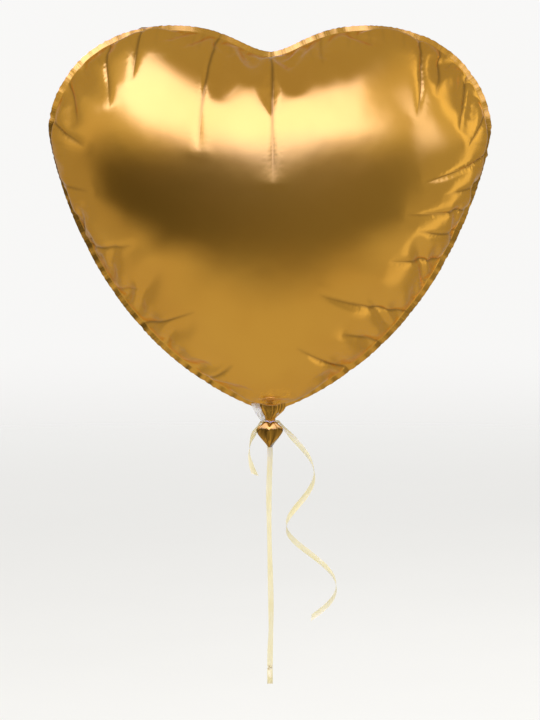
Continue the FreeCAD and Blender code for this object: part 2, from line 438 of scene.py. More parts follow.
FOIL = gold_foil()
FOIL_INSIDE = foil_inside()
CLEAR = clear_film()
RIBBON = satin_ribbon()

# -------------------- the heart's films, inflated as cloth

SIM_STEP = 10 * MM
SIM_FRAMES = 50
DRAW_FRAMES = 30
SIM_SCALE = 10.0
FINE, COARSE = 1.5 * MM, 3.6 * MM
FINE_RIM, FINE_BESIDE = 18 * MM, 7 * MM  # how far from the seam and from a crease the final mesh is fine


def triangulate(outline, inner):
    """The points of a closed outline and inside it, the outline's first, and the triangles that join them."""
    flat = [Vector(p) for p in np.vstack([outline, inner])]
    points, _, triangles, *_ = delaunay_2d_cdt(flat, [], [list(range(len(outline)))], 1, 1e-7)
    points = np.array([tuple(p) for p in points])
    corners = points[np.array(triangles)]
    (ux, uz), (vx, vz) = (corners[:, 1] - corners[:, 0]).T, (corners[:, 2] - corners[:, 0]).T
    triangles = [t if turn > 0 else t[::-1] for t, turn in zip(map(list, triangles), ux * vz - uz * vx)]
    return points, np.array(triangles)


def lattice(low, high, step):
    """Points in a triangular grid, step apart, over the box from low to high."""
    rows = enumerate(np.arange(low[1], high[1], step * math.sqrt(3) / 2))
    return np.array([(x, z) for i, z in rows for x in np.arange(low[0] + (i % 2) * step / 2, high[0], step)])


def flat_sheets():
    """Two flat heart sheets that share a seam: vertices, triangles of each, and the number on the seam."""
    outline = flat_outline()
    count = 2 * round(length_of(outline) / SIM_STEP / 2)
    seam = along(outline, np.arange(count) / count)
    random = np.random.default_rng(7)
    inner = lattice(seam.min(0), seam.max(0), SIM_STEP)
    inner = inner[is_inside(seam, inner)]
    inner = inner[distance_to(seam, inner) > 0.6 * SIM_STEP]
    inner += random.normal(0, 0.08 * SIM_STEP, inner.shape)
    points, triangles = triangulate(seam, inner)
    bulge = 2 * MM * np.sqrt(np.clip(distance_to(seam, points) / (30 * MM), 0, 1))
    front = np.c_[points[:, 0], -bulge, points[:, 1]]
    back = np.c_[points[count:, 0], bulge[count:], points[count:, 1]]
    behind = np.where(triangles < count, triangles, triangles + len(points) - count)[:, ::-1]
    return np.vstack([front, back]), triangles, behind, count


def inflate(verts, faces, seam_count):
    """The sheets after their seam has drawn in to the inflated outline and pressure has filled them."""
    drawn = verts * [WIDTH / FLAT_WIDTH, 1, 0.9]
    target = along(inflated_outline(), np.arange(seam_count) / seam_count)
    drawn[:seam_count] = np.c_[target[:, 0], np.zeros(seam_count), target[:, 1]]
    sheet = new_object("sheets", verts * SIM_SCALE, faces, None)
    sheet.shape_key_add(name="flat")
    key = sheet.shape_key_add(name="drawn in")
    key.data.foreach_set("co", (drawn * SIM_SCALE).ravel())
    for value, at in ((0.0, 1), (1.0, DRAW_FRAMES)):
        key.value = value
        key.keyframe_insert("value", frame=at)
    sheet.vertex_groups.new(name="seam").add(list(range(seam_count)), 1.0, "REPLACE")
    cloth = sheet.modifiers.new("Cloth", "CLOTH")
    settings = cloth.settings
    settings.quality, settings.mass, settings.air_damping = 6, 0.3, 4.0
    settings.tension_stiffness, settings.compression_stiffness, settings.shear_stiffness = 80, 4, 4
    settings.tension_damping = settings.compression_damping = settings.shear_damping = 5
    settings.bending_stiffness, settings.bending_damping = 0.05, 0.5
    settings.use_pressure, settings.uniform_pressure_force = True, 5.0
    settings.effector_weights.gravity = 0
    settings.vertex_group_mass = "seam"
    cloth.collision_settings.use_collision = False
    cloth.point_cache.frame_start, cloth.point_cache.frame_end = 1, SIM_FRAMES
    scene = bpy.context.scene
    scene.frame_start, scene.frame_end = 1, SIM_FRAMES
    for number in range(1, SIM_FRAMES + 1):
        scene.frame_set(number)
    graph = bpy.context.evaluated_depsgraph_get()
    filled = points_of(sheet.evaluated_get(graph).to_mesh()) / SIM_SCALE
    bpy.data.objects.remove(sheet)
    scene.frame_set(1)
    return filled


class Film:
    """One inflated film: where each place on the flat sheet has gone."""

    def __init__(self, flat, filled, faces):
        used, faces = np.unique(faces, return_inverse=True)
        faces = faces.reshape(-1, 3)
        self.flat, self.faces = self.refine(flat[used] * [1, 0, 1], faces)
        self.filled, _ = self.refine(filled[used], faces)
        self.tree = BVHTree.FromPolygons([Vector(p) for p in self.flat], self.faces.tolist())

    def refine(self, points, faces):
        """The sheet with two levels of smooth subdivision."""
        sheet = new_object("refined", points, faces, None)
        subdivide(sheet, 2)
        sheet.modifiers.new("triangles", "TRIANGULATE")
        bake_modifiers(sheet)
        result = points_of(sheet.data), np.array([list(p.vertices) for p in sheet.data.polygons])
        bpy.data.objects.remove(sheet)
        return result

    def place(self, flat_points):
        """The places in space of flat (x, z) points."""
        placed = np.empty((len(flat_points), 3))
        for i, (x, z) in enumerate(flat_points):
            spot, _, number, _ = self.tree.find_nearest((x, 0, z))
            corners = self.flat[self.faces[number]][:, [0, 2]]
            beyond = np.array([spot.x, spot.z]) - corners[0]
            share_b, share_c = np.linalg.solve((corners[1:] - corners[0]).T, beyond)
            a, b, c = self.filled[self.faces[number]]
            placed[i] = a + share_b * (b - a) + share_c * (c - a)
        return placed

    def find(self, seen):
        """The flat place that is seen at (x, z) from the front or back."""
        nearest = np.argmin(lengths(self.filled[:, [0, 2]] - seen))
        return self.flat[nearest, [0, 2]]


# A crease: where it starts on the seam (share of the half outline from cleft to tip, minus on the left half),
# the way it runs in degrees (0 is right, 90 is up), its length and depth in millimetres, and how much wider
# the pillow of film is on one side of it than on the other (more than 1: on its left, seen along it).
CREASES = [
    (0.004, -90, 106, 3.9, 0.8),
    (-0.085, -101, 96, 3.9, 1.4),
    (-0.20, -98, 40, 3.0, 0.8),
    (-0.255, -92, 54, 3.2, 1.3),
    (-0.345, -70, 34, 2.4, 1.0),
    (0.085, -86, 22, 1.2, 1.0),
    (0.235, -92, 66, 4.6, 0.6),
    (0.275, -94, 40, 3.0, 1.2),
    (0.335, -104, 46, 3.6, 0.8),
    (0.395, -118, 34, 3.0, 1.2),
    (0.455, 206, 62, 5.0, 0.6),
    (0.505, 190, 30, 2.4, 1.0),
    (0.545, 182, 56, 4.8, 0.7),
    (0.585, 180, 38, 3.0, 1.2),
    (0.635, 176, 50, 4.0, 0.7),
    (0.735, 166, 84, 5.4, 0.6),
    (0.80, 156, 34, 2.6, 1.0),
    (0.865, 150, 52, 4.4, 0.8),
    (-0.405, -40, 38, 4.0, 1.5),
    (-0.50, -12, 24, 2.2, 1.0),
    (-0.61, 2, 40, 3.2, 1.2),
    (-0.69, 10, 22, 1.8, 1.0),
    (-0.76, 16, 50, 3.6, 1.3),
    (-0.89, 32, 30, 2.6, 1.0),
]


LONG_CREASE = 80  # millimetres: from here on a crease is shallow where it leaves the seam


class Crease:
    """A crease laid out on the flat sheet, from its start on the seam."""

    def __init__(self, film, start, heading, length, depth, lean):
        share, angle = (start % 2) / 2, math.radians(heading)
        reach = length * MM * np.array([math.cos(angle), math.sin(angle)])
        seen_end = along(inflated_outline(), [share])[0] + reach
        self.start, end = along(flat_outline(), [share])[0], film.find(seen_end)
        self.length = np.linalg.norm(end - self.start)
        self.unit = (end - self.start) / self.length
        self.across = np.array([-self.unit[1], self.unit[0]])
        self.depth, self.lean = depth * MM, lean
        self.bow = 0.05 * self.length * math.sin(40 * start)
        self.onset = 0.35 if length > LONG_CREASE else 0.7

    def middle(self, share):
        """Points down the crease, at shares of its length."""
        share = np.asarray(share)[:, None]
        return self.start + self.unit * share * self.length + self.across * self.bow * share**2

    def locate(self, points):
        """Flat points' shares of the way down the crease, and how far they are beside it."""
        run, beside = (points - self.start) @ self.unit, (points - self.start) @ self.across
        share = np.clip(run / self.length, 0, 1)
        return share, beside - self.bow * share**2

    def shade(self, points):
        """How much painted shade flat points get in the fold, 0 to 1: more for deeper creases, most on the
        groove's middle line.
        """
        share, beside = self.locate(points)
        return np.clip(self.depth / (3 * MM), 0, 1) * (1 - share**4) * np.exp(-((beside / (1.3 * MM)) ** 2))

    def sink(self, points):
        """How far the film sinks at flat points: a fold along the crease, pillowed on both sides."""
        share, beside = self.locate(points)
        fade = (self.onset + (1.3 - self.onset) * share) * (1 - share**3) ** 1.3
        pillow = (3 * MM + 0.08 * self.length) * np.where(beside > 0, self.lean, 1 / self.lean)
        groove = 2.5 * MM
        beside = np.abs(beside)
        return self.depth * fade * (0.65 * np.exp(-beside / pillow) + 0.35 * np.exp(-beside / groove))


def small_creases(film, seed):
    """Short puckers along the seam between the long creases."""
    random = np.random.default_rng(seed)
    creases, outline = [], inflated_outline()
    taken = np.array([(crease[0] % 2) / 2 for crease in CREASES])
    half = length_of(outline) / 2
    at = random.uniform(3, 8) * MM
    while at < 2 * half - 4 * MM:
        share = at / (2 * half)
        if np.min(np.abs(taken - share)) * 2 * half > 5 * MM:
            near = along(outline, [share - 0.002, share + 0.002])
            direction = near[1] - near[0]
            inward = math.degrees(math.atan2(direction[1], direction[0])) - 90 + random.uniform(-22, 22)
            length, depth = random.uniform(5, 15), random.uniform(0.2, 0.65)
            start = 2 * share if share < 0.5 else 2 * share - 2
            creases.append(Crease(film, start, inward, length, depth, random.uniform(0.7, 1.4)))
        at += random.uniform(7, 15) * MM
    return creases


def film_mesh(creases):
    """The final flat mesh: fine along the seam and the creases, with rows of points down each crease."""
    outline = flat_outline()
    count = 2 * round(length_of(outline) / (1.3 * FINE) / 2)
    seam = along(outline, np.arange(count) / count)
    low, high = seam.min(0), seam.max(0)
    lines = []
    for crease in creases:
        if crease.length > 20 * MM:
            middle = crease.middle(np.arange(1.5 * FINE, crease.length, FINE) / crease.length)
            lines += [middle + crease.across * beside * MM for beside in (-1.9, -0.95, 0, 0.95, 1.9)]
    on_lines = np.vstack(lines)
    fine, coarse = lattice(low, high, FINE), lattice(low, high, COARSE)

    def clear_of_lines(points, room):
        keep = np.ones(len(points), bool)
        for line in lines:
            near = (np.abs(points - line.mean(0)) < 0.6 * length_of(line)).all(axis=1) & keep
            gaps = np.linalg.norm(points[near, None] - line[None], axis=2).min(axis=1)
            keep[np.flatnonzero(near)[gaps < room]] = False
        return keep

    fine, coarse = fine[is_inside(seam, fine)], coarse[is_inside(seam, coarse)]
    to_seam = distance_to(seam, fine)
    fine = fine[(to_seam > 0.7 * FINE) & ((to_seam < FINE_RIM) | ~clear_of_lines(fine, FINE_BESIDE))]
    fine = fine[clear_of_lines(fine, 0.76 * FINE)]
    far_in = distance_to(seam, coarse) > FINE_RIM + 0.5 * FINE
    coarse = coarse[far_in & clear_of_lines(coarse, FINE_BESIDE)]
    random = np.random.default_rng(3)
    fine += random.normal(0, 0.05 * FINE, fine.shape)
    coarse += random.normal(0, 0.05 * COARSE, coarse.shape)
    on_lines = on_lines[is_inside(seam, on_lines)]
    on_lines = on_lines[distance_to(seam, on_lines) > 0.6 * FINE]
    points, triangles = triangulate(seam, np.vstack([on_lines, fine, coarse]))
    return points, triangles, count


def relaxed(points, triangles, fixed, rounds):
    """Points drawn towards their neighbours' middle a few times, except the first ones."""
    edges = np.vstack([triangles[:, [0, 1]], triangles[:, [1, 2]], triangles[:, [2, 0]]])
    edges = np.vstack([edges, edges[:, ::-1]])
    number = np.bincount(edges[:, 0], minlength=len(points))[:, None]
    for _ in range(rounds):
        total = np.zeros_like(points)
        np.add.at(total, edges[:, 0], points[edges[:, 1]])
        moved = (points + total / np.maximum(number, 1)) / 2
        points = np.where(np.arange(len(points))[:, None] < fixed, points, moved)
    return points


def vertex_normals(points, triangles):
    a, b, c = points[triangles[:, 0]], points[triangles[:, 1]], points[triangles[:, 2]]
    facing = np.cross(b - a, c - a)
    normals = np.zeros_like(points)
    for corner in range(3):
        np.add.at(normals, triangles[:, corner], facing)
    return unit(normals)


def wave(shares, seed, low, high, terms=9):
    """An uneven wave round the seam, about -1 to 1, with low to high crests on its way round."""
    random = np.random.default_rng(seed)
    total = np.zeros(len(shares))
    for _ in range(terms):
        crests = random.integers(low, high)
        total += random.uniform(0.4, 1.0) * np.sin(2 * math.pi * (crests * shares + random.uniform()))
    return total / math.sqrt(terms)


def share_round(points, outline):
    """Each (x, z) point's share of the way round an outline, by its direction from the heart's middle."""
    middle = np.array([0, 0.57 * outline[:, 1].max()])
    angles = np.unwrap(np.arctan2(*(outline - middle).T))
    steps = lengths(np.diff(outline, axis=0, append=outline[:1]))
    run = np.r_[0, np.cumsum(steps)[:-1]] / steps.sum()
    here = np.arctan2(*(points - middle).T)
    here = np.mod(here - angles[0], 2 * math.pi) + angles[0]
    return np.interp(here, np.r_[angles, angles[0] + 2 * math.pi], np.r_[run, 1.0])


def seam_shift(shares, creases):
    """How the seam itself moves at each share of its length: (outwards, towards the back)."""
    flat = along(flat_outline(), shares)
    drawn_in = sum(c.sink(flat) for c in creases)
    outwards = 0.6 * MM - 0.3 * drawn_in
    return outwards, 0.3 * MM * wave(shares, 5, 50, 110)


def outward_of(ring):
    """The outward direction (x, z) at each point of a closed ring that runs clockwise seen from the front."""
    tangent = np.roll(ring, -1, axis=0) - np.roll(ring, 1, axis=0)
    outward = np.c_[-tangent[:, 1], tangent[:, 0]]
    for _ in range(4):
        outward = (np.roll(outward, 1, axis=0) + 2 * outward + np.roll(outward, -1, axis=0)) / 4
    return unit(outward)


def build_film(name, film, creases, shift, points, triangles, count, side):
    """One film's piece: placed, creased, with its half of the sealed edge, and given its thickness."""
    placed = film.place(points)
    shares = np.arange(count) / count
    ring = along(inflated_outline(), shares)
    placed[:count] = np.c_[ring[:, 0], np.zeros(count), ring[:, 1]]
    placed = relaxed(placed, triangles, count, 6)
    at_tip = np.exp(-((lengths(placed - [0, 0, 8 * MM]) / (30 * MM)) ** 2))[:, None]
    placed += at_tip * (relaxed(placed, triangles, count, 90) - placed)
    normals = vertex_normals(placed, triangles) * side
    inward = distance_to(points[:count], points)
    depth = sum(c.sink(points) for c in creases)
    near = np.exp(-inward / (9 * MM))
    around = share_round(points, flat_outline())
    moved = placed - normals * side * (depth * (1 - near))[:, None]
    outward = outward_of(ring)
    nearest = np.round(around * count).astype(int) % count
    shift = np.c_[outward[:, 0] * shift[0], shift[1], outward[:, 1] * shift[0]]
    moved += shift[nearest] * near[:, None]
    moved[:count] = placed[:count] + shift
    rows, verts = [np.arange(count)], [moved]
    cut = wave(shares, 23, 140, 300)
    leaning = np.tan(np.radians(19 + 22 * np.clip(outward[:, 1], 0, 1) + 6 * wave(shares, 31, 6, 30)))
    start = moved[:count]
    for number, out in enumerate((0.15, 0.4, 0.65, 0.85, 1.0)):
        reach = out * (SEAM + 0.3 * MM * cut * out)
        back = leaning * reach + 0.2 * MM * wave(shares, 5, 50, 110) * out + 0.1 * MM * cut * out
        rows.append(len(moved) + number * count + np.arange(count))
        verts.append(start + np.c_[outward[:, 0] * reach, back, outward[:, 1] * reach])
    quads = []
    for inner, outer in zip(rows, rows[1:]):
        quads += np.c_[inner, np.roll(inner, -1), np.roll(outer, -1), outer].tolist()
    faces = triangles.tolist() + quads
    if side > 0:
        faces = [f[::-1] for f in faces]
    verts = np.vstack(verts)
    verts[:, 1] += side * FILM * 1.1
    verts[:, 2] += TIP_Z
    piece = new_object(name, verts, faces, FOIL)
    piece.data.materials.append(FOIL_INSIDE)
    seam_length = length_of(flat_outline())
    # painted shade along each crease's groove, stored as the fold attribute; the sealed edge gets half
    painted_fold_shade = np.max([c.shade(points) for c in creases], axis=0)
    for attribute, on_film, on_edge in (
        ("seal", near * 0.6, np.ones(count)),
        ("round", around * seam_length, shares * seam_length),
        ("inward", inward, np.zeros(count)),
        ("fold", painted_fold_shade, 0.5 * painted_fold_shade[:count]),
    ):
        set_attribute(piece.data, attribute, np.concatenate([on_film] + [on_edge] * (len(rows) - 1)))
    thicken(piece, FILM, -1, 1)
    return piece


def build_heart():
    verts, front_faces, back_faces, seam_count = flat_sheets()
    filled = inflate(verts, np.vstack([front_faces, back_faces]), seam_count)
    for name, faces, side, node in (
        ("film_front", front_faces, -1, "front_panel"),
        ("film_back", back_faces, 1, "back_panel"),
    ):
        film = Film(verts, filled, faces if side < 0 else faces[:, ::-1])
        creases = [Crease(film, *c) for c in CREASES] + small_creases(film, 17)
        points, triangles, count = film_mesh(creases)
        if side < 0:
            shift = seam_shift(np.arange(count) / count, creases)
        piece = build_film(name, film, creases, shift, points, triangles, count, side)
        hand_over(piece, "balloon", node)


build_heart()

# -------------------- tapes: ribbon, curls and loop

TAPE_COLUMNS = 6
NARROWED = 0.62  # a free end's width where it leaves the knot, as a share of the ribbon's


def tape(name, centres, facings, width, cup, askew=0.0):
    """A ribbon along centres that faces facings, cupped across, with its far end cut askew."""
    tangents = unit(np.gradient(centres, axis=0))
    up = squared(facings, tangents)
    side = np.cross(tangents, up)
    widths = np.broadcast_to(width, len(centres))
    run = np.r_[0, np.cumsum(lengths(np.diff(centres, axis=0)))]
    verts, uv = [], []
    for i, centre in enumerate(centres):
        slant = tangents[i] * askew * max(0.0, 1 - (run[-1] - run[i]) / (2 * TAPE))
        for s in np.linspace(-1, 1, TAPE_COLUMNS + 1):
            verts.append(centre + side[i] * s * widths[i] / 2 + up[i] * cup * (1 - s * s) + slant * s)
            uv.append((0.5 + s / 2, run[i]))
    piece = new_object(name, verts, grid_faces(len(centres), TAPE_COLUMNS + 1), RIBBON)
    set_uv(piece.data, uv)
    thicken(piece, RIBBON_THICK)
    return piece


def hanging_path(low, high, count):
    """The main ribbon between two heights: almost straight, slowly twisting, and led back to the knot."""
    z = np.linspace(low, high, count)
    free = smoothstep(0.012, 0.05, z) * (1 - smoothstep(0.17, 0.225, z))
    x = 0.9 * MM * free * np.sin(z / 0.034)
    y = KNOT_Y * smoothstep(NOD_Z, TIE_Z - 3 * MM, z) + 0.8 * MM * free * np.sin(z / 0.027 + 1.0)
    turn = math.radians(38) * free * np.sin(z / 0.031 + 0.6)
    return np.c_[x, y, z], np.c_[np.sin(turn), -np.cos(turn), np.zeros(count)]


def build_ribbon():
    """Three lengths, each round one joint of the ribbon. They meet halfway between joints."""
    bottom = PLACES["ribbon_sway"][2] + 1.0 * MM
    first, second = (BEND_Z + TWIST_Z) / 2, (TWIST_Z + NOD_Z) / 2
    turning = 0.48 * (second - first)
    for name, low, high, below, above, joint_z, half, nodes in (
        ("low", bottom, first, "ribbon_low", "ribbon_mid", BEND_Z, 16 * MM, ["ribbon_lower"]),
        ("mid", first, second, "ribbon_mid", "ribbon_high", TWIST_Z, turning, ["ribbon_middle"]),
        ("high", second, TIE_Z, "ribbon_high", "ribbon_end", NOD_Z, 14 * MM, ["ribbon_upper", "ribbon_top"]),
    ):
        piece = tape("ribbon_length_" + name, *hanging_path(low, high, 60), TAPE, 0.35 * MM)
        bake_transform(piece)
        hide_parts(*nodes)


def curl_path(start, centre, radius, growth, length, front_drop):
    """The winding path of a free end and its facings, as in the frame's own curls."""
    pitch, count = 105 * MM, 150
    side = math.copysign(1.0, centre[0])
    drop = np.linspace(0, length, count)
    turn = 2 * math.pi * (drop - front_drop) / pitch
    pull = np.exp(-drop / (9 * MM))
    r = radius + growth * (drop - front_drop)
    out, forward = side * np.cos(turn), np.sin(turn)
    x = centre[0] + side * growth * (drop - front_drop) + r * out
    y = centre[1] - 0.6 * r * forward
    path = np.c_[x + (start[0] - x) * pull, y + (start[1] - y) * pull, start[2] - drop]
    return path, np.c_[-out, forward, np.zeros(count)]


def build_curls():
    for side, centre, radius, growth, length, front_drop in (
        ("long", (27, -12), 12.5, 0.095, 172, 39),
        ("short", (-12.5, -13), 7.0, 0.0, 44, 20),
    ):
        name, hinge = "ribbon_end_" + side, PLACES[side + "_curl_swing"]
        centre = (centre[0] * MM, centre[1] * MM)
        path, facings = curl_path(hinge, centre, radius * MM, growth, length * MM, front_drop * MM)
        drop = hinge[2] - path[:, 2]
        facings += (lead_facing(hinge) - facings) * (1 - smoothstep(0, 16 * MM, drop))[:, None]
        widths = TAPE * (NARROWED + (1 - NARROWED) * smoothstep(0, 14 * MM, drop))
        piece = tape(name, path, facings, widths, 0.5 * MM, askew=2.2 * MM)
        hand_over(piece, "curl_" + side, "ribbon_curl_" + side)
        build_lead(name + "_lead", hinge)


def lead_facing(hinge):
    return np.array([math.copysign(0.75, hinge[0]), -0.65, 0.0])


def build_lead(name, hinge):
    """The short bit of a free end between the wrap and the place where the curl swings."""
    side = math.copysign(1.0, hinge[0])
    root = np.array([side * (WRAP_R - 1.0 * MM), 1.5 * MM, TIE_Z])
    t = np.linspace(0, 1, 14)[:, None]
    path = root + (hinge + np.array([side * 0.1, 0, -0.1]) * MM - root) * t
    path += np.array([side * 0.8 * MM, 0, 0.5 * MM]) * np.sin(math.pi * t)
    facings = np.repeat([lead_facing(hinge)], len(t), axis=0)
    hand_over(tape(name, path, facings, NARROWED * TAPE, 0.5 * MM), "balloon", None)


def tube(name, centres, across, section, closed=False):
    """A solid cord along centres. section is its outline as (out, across) pairs, out being square to both."""
    if closed:
        tangents = unit(np.roll(centres, -1, axis=0) - np.roll(centres, 1, axis=0))
    else:
        tangents = unit(np.gradient(centres, axis=0))
    across = squared(np.asarray(across, float), tangents)
    out = np.cross(tangents, across)
    section = np.asarray(section, float)
    rings = out[:, None] * section[None, :, :1] + across[:, None] * section[None, :, 1:]
    verts = (centres[:, None] + rings).reshape(-1, 3)
    row, count = len(section), len(centres)
    faces = grid_faces(count, row, round_columns=True, round_rows=closed)
    if not closed:
        faces.append(range(row)[::-1])
        faces.append(range((count - 1) * row, count * row))
    piece = new_object(name, verts, faces, RIBBON)
    set_uv(piece.data, [(place / row, ring * 0.3 * MM) for ring in range(count) for place in range(row)])
    piece.data.flip_normals()
    return piece


def bunched_section(width, height, folds, count):
    """The outline of ribbon bunched into a cord: an oval with a few shallow folds."""
    angle = np.linspace(0, 2 * math.pi, count, endpoint=False)
    swell = 1 + 0.17 * np.cos(folds * angle + 0.7)
    return np.c_[height / 2 * np.cos(angle) * swell, width / 2 * np.sin(angle) * swell]


def build_wrap():
    """Three and a bit turns of bunched ribbon round the neck."""
    turns, count = 3.3, 180
    angle = np.linspace(0, 2 * math.pi * turns, count)
    high, cord = WRAP_HIGH.z - WRAP_LOW.z, 1.5 * MM
    z = WRAP_LOW.z + cord / 2 + (high - cord) * angle / angle[-1]
    radius = WAIST_R + 0.62 * MM + 0.12 * MM * np.sin(2.7 * angle)
    centres = np.c_[radius * np.sin(angle), radius * np.cos(angle), z + 0.25 * MM * np.sin(1.9 * angle + 1)]
    piece = tube("ribbon_turns", centres, [[0, 0, 1]], bunched_section(1.9 * MM, 1.25 * MM, 5, 20))
    hand_over(piece, "balloon", "ribbon_wrap")


def build_knot(name, centre, size, body, node, tilt):
    """An overhand knot of bunched ribbon: a closed trefoil drawn tight."""
    t = np.linspace(0, 2 * math.pi, 160, endpoint=False)
    x = np.sin(t) + 2 * np.sin(2 * t)
    y = np.cos(t) - 2 * np.cos(2 * t)
    z = -1.25 * np.sin(3 * t)
    scale = size / 2 / 4.1
    local = np.c_[x, z, y] * scale
    c, s = math.cos(tilt), math.sin(tilt)
    turned = np.c_[local[:, 0] * c - local[:, 2] * s, local[:, 1], local[:, 0] * s + local[:, 2] * c]
    section = bunched_section(3.0 * scale, 1.45 * scale, 4, 18)
    piece = tube(name, np.array(centre) + turned, [[0.3, 1.0, 0.2]], section, closed=True)
    hand_over(piece, body, node)


def build_loop():
    """The tied loop at the bottom: ribbon bent round, slightly drawn up to its knot."""
    inner = (LOOP_HIGH.z - LOOP_LOW.z) / 2 - 0.3 * MM
    angle = np.linspace(0, 2 * math.pi, 72, endpoint=False)
    radius = inner + 0.15 * MM + 1.2 * MM * np.maximum(0, np.cos(angle)) ** 6
    centres = np.c_[np.zeros(len(angle)), radius * np.sin(angle), radius * np.cos(angle)]
    half, thin = TAPE / 2, 0.09 * MM
    section = [(thin, -half), (thin * 1.6, 0), (thin, half), (-thin, half), (-thin * 0.4, 0), (-thin, -half)]
    piece = tube("ribbon_loop", centres, [[1, 0, 0]], section, closed=True)
    hand_over(piece, "anchor", "anchor_loop")


build_ribbon()
build_curls()
build_wrap()
build_knot("knot_at_neck", (0, KNOT_Y, TIE_Z), 6.2 * MM, "balloon", "ribbon_knot", 0.4)
build_knot("knot_at_loop", (0, 0, LOOP_KNOT_Z), 5.8 * MM, "anchor", "anchor_knot", 1.1)
build_loop()

# -------------------- neck, tail and valve


def foil_piece(name, verts, faces, body, node, **shades):
    """A small piece of foil: smoothed, with its thickness, its inner side and its shading attributes, such as
    painted shade in its folds.
    """
    piece = new_object(name, verts, faces, FOIL)
    piece.data.materials.append(FOIL_INSIDE)
    for attribute, values in shades.items():
        set_attribute(piece.data, attribute, values)
    subdivide(piece, 1)
    thicken(piece, FILM, -1, 1)
    hand_over(piece, body, node)


def clear_piece(name, x, y, z, body, node):
    """A piece of clear film through a grid of places."""
    piece = new_object(name, np.c_[x.ravel(), y.ravel(), z.ravel()], grid_faces(*x.shape), CLEAR)
    thicken(piece, CLEAR_FILM)
    hand_over(piece, body, node)


def shares_over(rows, columns, left=-1):
    """A grid's shares of the way down (0 to 1) and across (left to 1)."""
    return np.meshgrid(np.linspace(0, 1, rows), np.linspace(left, 1, columns), indexing="ij")


def build_neck():
    """The film's gathered neck: pleats that tighten from the heart's point to the ribbon, then open again."""
    rows, around = 44, 120
    z = np.linspace(WRAP_LOW.z - 1.6 * MM, TIP_Z + 4 * MM, rows)
    up = (z - TIE_Z) / (TIP_Z - TIE_Z)
    waist = WAIST_R - 0.35 * MM
    half_x = waist + 7.0 * MM * smoothstep(0.05, 1.1, up) + 0.8 * MM * smoothstep(-0.1, -0.4, up)
    half_y = waist + 1.4 * MM * smoothstep(0.1, 1.2, up)
    shift = 2.5 * MM * smoothstep(0.1, 0.8, up)
    deep = 0.07 + 0.07 * smoothstep(0.05, 0.5, up) * (1 - smoothstep(0.9, 1.5, up))
    angle = np.linspace(0, 2 * math.pi, around, endpoint=False)
    verts, painted_fold_shade = [], []
    for i in range(rows):
        pleats = np.zeros(around)
        for folds, phase, size in ((9, 0.4, 0.55), (14, 2.0, 0.35), (5, 1.1, 0.35)):
            pleats += size * (np.abs(np.sin(folds * angle + phase + 0.5 * up[i])) ** 0.7 * 2 - 1)
        swell = 1 + deep[i] * pleats
        x = shift[i] + half_x[i] * np.cos(angle) * swell
        verts.append(np.c_[x, half_y[i] * np.sin(angle) * swell, np.full(around, z[i])])
        # painted shade in the hollows of the pleats, stored as the fold attribute
        painted_fold_shade.append(0.7 * smoothstep(0.1, -0.9, pleats))
    verts = np.vstack(verts)
    verts += np.random.default_rng(3).normal(0, 0.03 * MM, verts.shape)
    faces = grid_faces(rows, around, round_columns=True)
    seal = np.full(len(verts), 0.25)
    foil_piece("neck_film", verts, faces, "balloon", None, seal=seal, fold=np.concatenate(painted_fold_shade))


def leaf(name, node, body, root_y, bulge, lean, seed, wide=1.0):
    """One tail film: a leaf with two lobes at its root, a ridge down its middle and gathers that fan out."""
    low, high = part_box(node)
    t, s = shares_over(44, 44)
    hinge_z = PLACES["tail_lift"][2]
    rise = np.sin(math.pi / 2 * np.clip(t / 0.26, 0, 1))
    narrow = (1 - smoothstep(0.22, 1.08, t)) ** 0.8
    half = wide * (high.x - low.x) / 2 * (0.62 + 0.38 * rise) * (0.03 + 0.97 * narrow)
    lobes = 1.7 * MM * (1 - ((np.abs(s) - 0.5) / 0.5) ** 2) - 1.0 * MM * np.abs(s) ** 3
    x = s * half + lean * t * (high.z - low.z)
    z = hinge_z - t * (hinge_z - low.z) + lobes * (1 - t) ** 2
    forward = bulge * (1 - (1 - np.clip(t / 0.3, 0, 1)) ** 2) - 0.5 * bulge * np.clip((t - 0.3) / 0.7, 0, 1)
    y = root_y - forward + 2.0 * MM * s**2 * rise
    y -= 0.9 * MM * np.exp(-((s / 0.13) ** 2)) * smoothstep(0.02, 0.2, t)
    fan = s / (0.35 + 0.8 * t)
    gathers = np.sin(6 * fan + seed) + 0.5 * np.sin(11 * fan + 2.1 * seed + 3 * t)
    y += 0.26 * MM * smoothstep(0.0, 0.3, t) * gathers
    faces = grid_faces(*t.shape)
    if body == "tail_front":
        faces = [face[::-1] for face in faces]
    # fold is painted shade: the tail is darkened towards both sides, with its middle ridge left light
    seal, fold = smoothstep(0.8, 1.0, np.abs(s)) * 0.8, 0.75 * (1 - np.exp(-((s / 0.22) ** 2)))
    verts = np.c_[x.ravel(), y.ravel(), z.ravel()]
    foil_piece(name, verts, faces, body, node, seal=seal.ravel(), fold=fold.ravel())


def build_fold():
    """The gathered film that comes out below the ribbon and folds forwards and up to the tail's root."""
    _, root_y, hinge_z = PLACES["tail_lift"]
    root, crest = (-2.4 * MM, WRAP_LOW.z - 0.5 * MM), (root_y - 0.2 * MM, hinge_z)
    t, s = shares_over(30, 40)
    path = hermite(root, (-7 * MM, -5 * MM), crest, (1 * MM, 9 * MM), len(t))
    pleats = 0.3 * MM * (np.abs(np.sin(4.5 * s + 0.6 * t)) * 2 - 1)
    slope = unit(np.gradient(path, axis=0))
    x = s * (3.3 * MM + 0.9 * MM * t)
    y = path[:, :1] + slope[:, 1:] * pleats + 0.9 * MM * s**2
    z = path[:, 1:] - slope[:, :1] * pleats
    verts = np.c_[x.ravel(), y.ravel(), z.ravel()]
    foil_piece("tail_fold", verts, grid_faces(*t.shape), "balloon", None, seal=np.full(t.size, 0.2))


